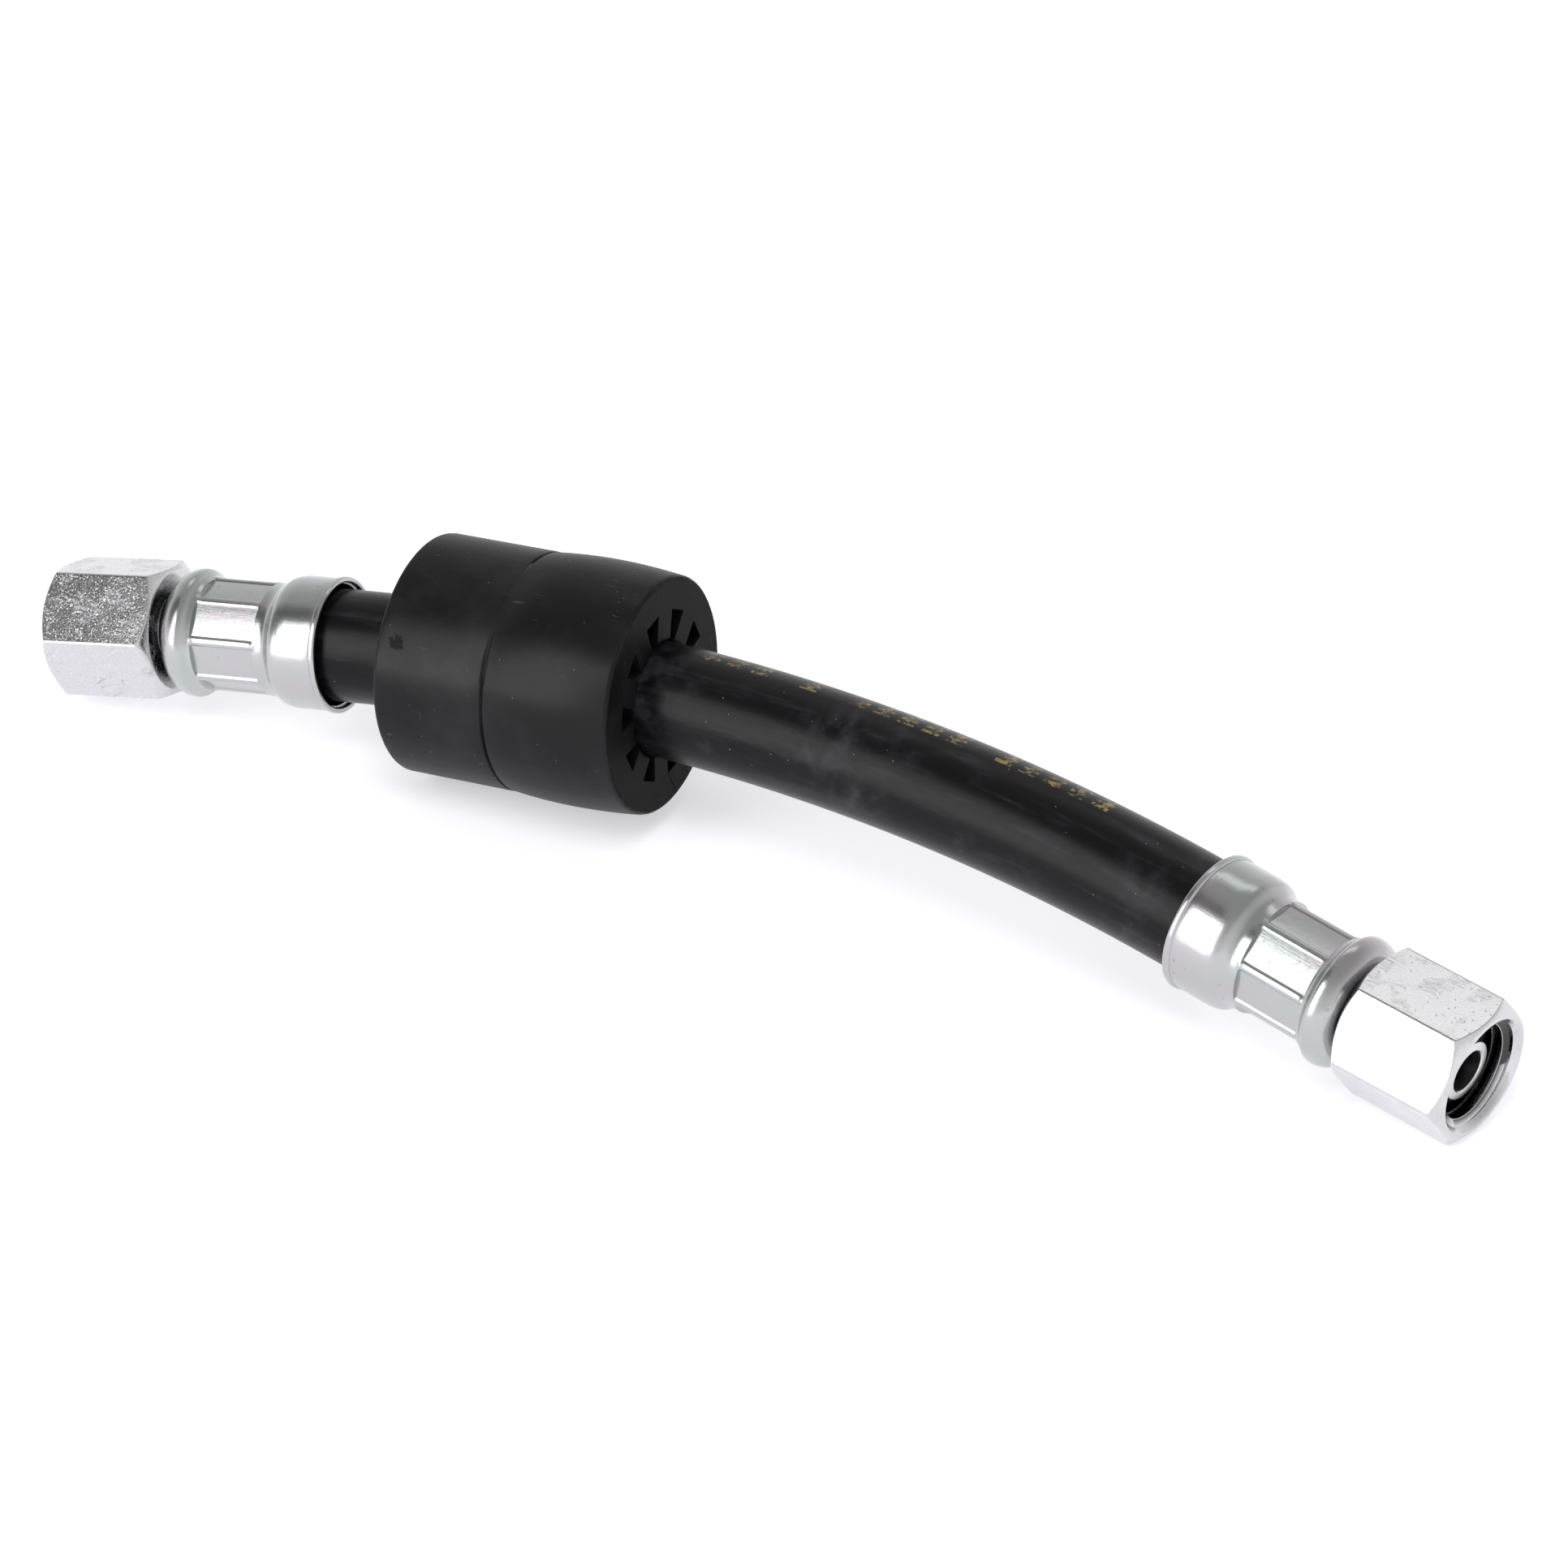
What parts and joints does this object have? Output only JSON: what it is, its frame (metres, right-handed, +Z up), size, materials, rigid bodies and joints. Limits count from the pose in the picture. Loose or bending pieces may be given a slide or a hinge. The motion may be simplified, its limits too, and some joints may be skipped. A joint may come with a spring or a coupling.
{
  "type": "fuel hose",
  "caption": "Short bent black rubber fuel hose with a crimped steel ferrule, nipple and swivelling hexagonal union nut at each end, and a split slotted rubber bush.",
  "frame": {"origin": "centre of the bottom of the bounding box, on the ground that the hose lies on", "axes": "+X along the run from the nut beside the bush to the other nut, +Z up, +Y on the side that the bend bows out to"},
  "size_m": [0.2138, 0.0374, 0.0341],
  "materials": {
    "hose_rubber": "smooth black rubber with a soft sheen",
    "bush_rubber": "matte black moulded rubber",
    "plated_sheet": "satin zinc-plated drawn sheet",
    "turned_steel": "bright zinc-plated turned steel",
    "plated_nut": "bright zinc-plated steel with fine handling scratches"
  },
  "bodies": {
    "hose_run": {"hose": "hose_rubber", "bush": "bush_rubber", "left_ferrule": "plated_sheet", "right_ferrule": "plated_sheet", "left_nipple": "turned_steel", "right_nipple": "turned_steel"},
    "left_union": {"left_nut": "plated_nut"},
    "right_union": {"right_nut": "plated_nut"}
  },
  "joints": [
    {"name": "left_nut_turn", "type": "hinge", "parent": "hose_run", "child": "left_union", "pos_m": [-0.09066, -0.00687, 0.01144], "axis": [-0.9733, -0.1662, -0.1586], "continuous": true},
    {"name": "right_nut_turn", "type": "hinge", "parent": "hose_run", "child": "right_union", "pos_m": [0.09085, -0.00687, 0.01036], "axis": [0.9816, -0.1671, -0.0923], "continuous": true}
  ]
}
